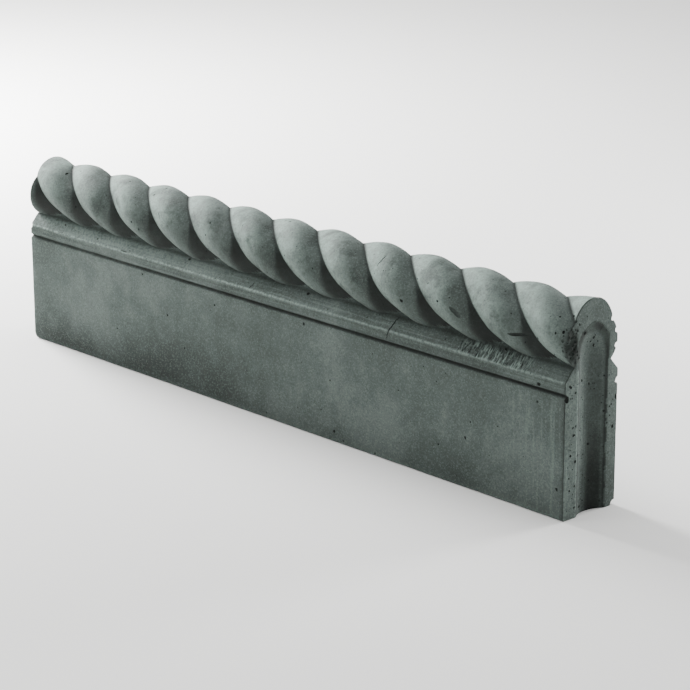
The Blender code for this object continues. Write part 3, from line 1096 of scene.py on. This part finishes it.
def drawnWire():
    # rust mixed over steel by a smooth range of a noise, which also dulls it, and pits in its skin
    material, tree, shader = newMaterial("drawnSteelWire")
    plan = wireFinish
    coords = addNode(tree, "TexCoord", output="Object")
    detail, rough = plan["patchDetail"]
    patch = addNode(tree, "TexNoise", {
        "Vector": coords, "Scale": 1.0 / plan["patchSize"], "Detail": detail, "Roughness": rough})
    patch = addNode(tree, "MapRange", (patch, *plan["patch"]), **smooth)
    steel, rust = linear(plan["steel"]), linear(plan["rust"])
    colour = addNode(tree, "Mix", {0: patch, 6: steel, 7: rust}, **blend)
    tree.links.new(colour, shader.inputs["Base Color"])
    for name, socket in (("metallic", "Metallic"), ("roughness", "Roughness")):
        tree.links.new(addNode(tree, "MapRange", (patch, *plan[name])), shader.inputs[socket])
    scale = 1.0 / plan["pitSize"]
    pits = addNode(tree, "TexNoise", {
        "Vector": coords, "Scale": scale, "Detail": plan["pitDetail"]})
    skin = addNode(tree, "Bump", {
        "Height": pits, "Distance": plan["pitHeight"], "Strength": plan["pitStrength"]})
    tree.links.new(skin, shader.inputs["Normal"])
    return material


print("finishes")
markSurface(casting)
casting.data.materials.clear()
casting.data.materials.append(castConcrete())
wireMaterial = drawnWire()
for node in wireNodes:
    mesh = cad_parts[node].data
    if not mesh.materials:
        mesh.materials.append(wireMaterial)
    for index in range(len(mesh.materials)):
        mesh.materials[index] = wireMaterial


# Camera, floor and light
lightPlan = dict(
    dome=1.9,
    horizon=0.13,
    domeEdge=(0.64, 0.90),
    seen=1.0,
    floor="#f4f4f2",
    floorSpan=6.0,
    floorDrop=0.2 * millimetre,
    floorRoughness=0.9,
    key=dict(kind="POINT", place=(-1.4, 0.10, 0.60), size=0.30, power=330.0),
    back=dict(kind="AREA", place=(0.45, 1.0, 0.30), size=0.4, power=14.0),
    front=dict(kind="AREA", place=(-0.5, -1.2, 0.60), size=0.6, power=4.0),
)


def placeCamera():
    # the camera at its place, turned to look along its direction and then rolled
    data = bpy.data.cameras.new("camera")
    data.lens = cameraPlan["lens"]
    data.sensor_width = cameraPlan["sensor"]
    data.clip_start, data.clip_end = cameraPlan["clip"]
    made = bpy.data.objects.new("camera", data)
    bpy.context.scene.collection.objects.link(made)
    direction = Vector(cameraPlan["lookTowards"])
    turn = direction.to_track_quat("-Z", "Y").to_matrix().to_4x4()
    roll = Matrix.Rotation(math.radians(cameraPlan["roll"]), 4, "Z")
    made.matrix_world = Matrix.Translation(Vector(cameraPlan["place"])) @ turn @ roll
    bpy.context.scene.camera = made


def buildFloor():
    # one square, a little below the block so that the two faces don't fight
    span, level = lightPlan["floorSpan"], -lightPlan["floorDrop"]
    corners = ((-span, -span), (span, -span), (span, span), (-span, span))
    points = np.array([(x, y, level) for x, y in corners])
    floor = meshFrom("floor", points, np.array([[0, 1, 2, 3]]))
    material, _, shader = newMaterial("paleFloor")
    shader.inputs["Base Color"].default_value = linear(lightPlan["floor"])
    shader.inputs["Roughness"].default_value = lightPlan["floorRoughness"]
    floor.data.materials.append(material)


def addLight(name, kind, place, size, power):
    # a soft lamp aimed at the block: a globe of this radius, or a disc of this width
    data = bpy.data.lights.new(name, kind)
    if kind == "AREA":
        data.shape = "DISK"
        data.size = size
    else:
        data.shadow_soft_size = size
    data.energy = power
    made = bpy.data.objects.new(name, data)
    bpy.context.scene.collection.objects.link(made)
    made.visible_camera = False
    made.location = place
    aim = Vector((0.0, 0.0, blockPlan["height"] / 2)) - Vector(place)
    made.rotation_euler = aim.to_track_quat("-Z", "Y").to_euler()


def setWorld():
    # an even dome overhead, dim towards the horizon, and pale where it is seen past the floor
    world = bpy.data.worlds.new("studio")
    world.use_nodes = True
    tree = world.node_tree
    way = addNode(tree, "TexCoord", output="Generated")
    up = addNode(tree, "SeparateXYZ", (way,), "Z")
    limits = (*lightPlan["domeEdge"], lightPlan["horizon"], lightPlan["dome"])
    dome = addNode(tree, "MapRange", (up, *limits), **smooth)
    seen = addNode(tree, "LightPath", output="Is Camera Ray")
    strength = addNode(tree, "MapRange", (seen, 0.0, 1.0, dome, lightPlan["seen"]))
    tree.links.new(strength, tree.nodes["Background"].inputs["Strength"])
    tree.nodes["Background"].inputs["Color"].default_value = (1.0, 1.0, 1.0, 1.0)
    bpy.context.scene.world = world


print("camera, floor and light")
placeCamera()
buildFloor()
for lightName in ("key", "back", "front"):
    addLight(lightName, **lightPlan[lightName])
setWorld()
